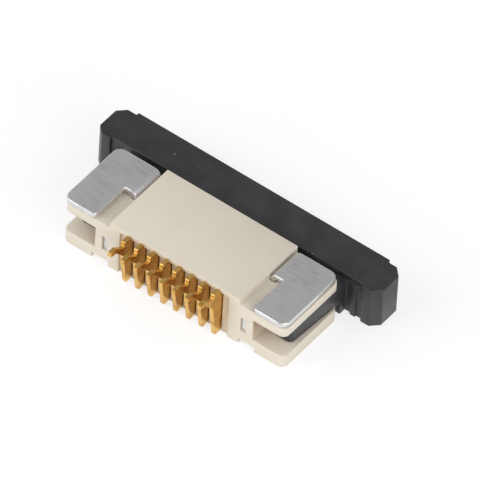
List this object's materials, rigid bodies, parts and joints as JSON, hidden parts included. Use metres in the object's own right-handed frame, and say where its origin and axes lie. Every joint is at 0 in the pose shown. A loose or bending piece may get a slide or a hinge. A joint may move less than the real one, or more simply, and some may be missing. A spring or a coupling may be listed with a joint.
{
  "type": "fpc connector",
  "caption": "Right-angle board connector for a flat flexible cable, with a sliding lock, shown with its solder side up.",
  "frame": {"origin": "middle of the underside of the whole connector, slider shut", "axes": "+X along the row of contacts, +Y towards the cable side, the way the slider pulls out, +Z away from the rest plane, towards the circuit board that the connector is soldered to"},
  "size_m": [0.0112, 0.0056, 0.002],
  "materials": {
    "housing": "satin moulded ivory plastic",
    "contacts": "stamped and gold-plated",
    "nails": "matte tin plating",
    "slider": "satin moulded black plastic"
  },
  "bodies": {
    "base": {"housing": "housing", "contact_1": "contacts", "contact_2": "contacts", "contact_3": "contacts", "contact_4": "contacts", "contact_5": "contacts", "contact_6": "contacts", "contact_7": "contacts", "contact_8": "contacts", "nail_left": "nails", "nail_right": "nails"},
    "lock": {"slider": "slider"}
  },
  "joints": [
    {"name": "slider_pull", "type": "slide", "parent": "base", "child": "lock", "axis": [0, 1, 0], "range_m": [0, 0.0011]}
  ]
}
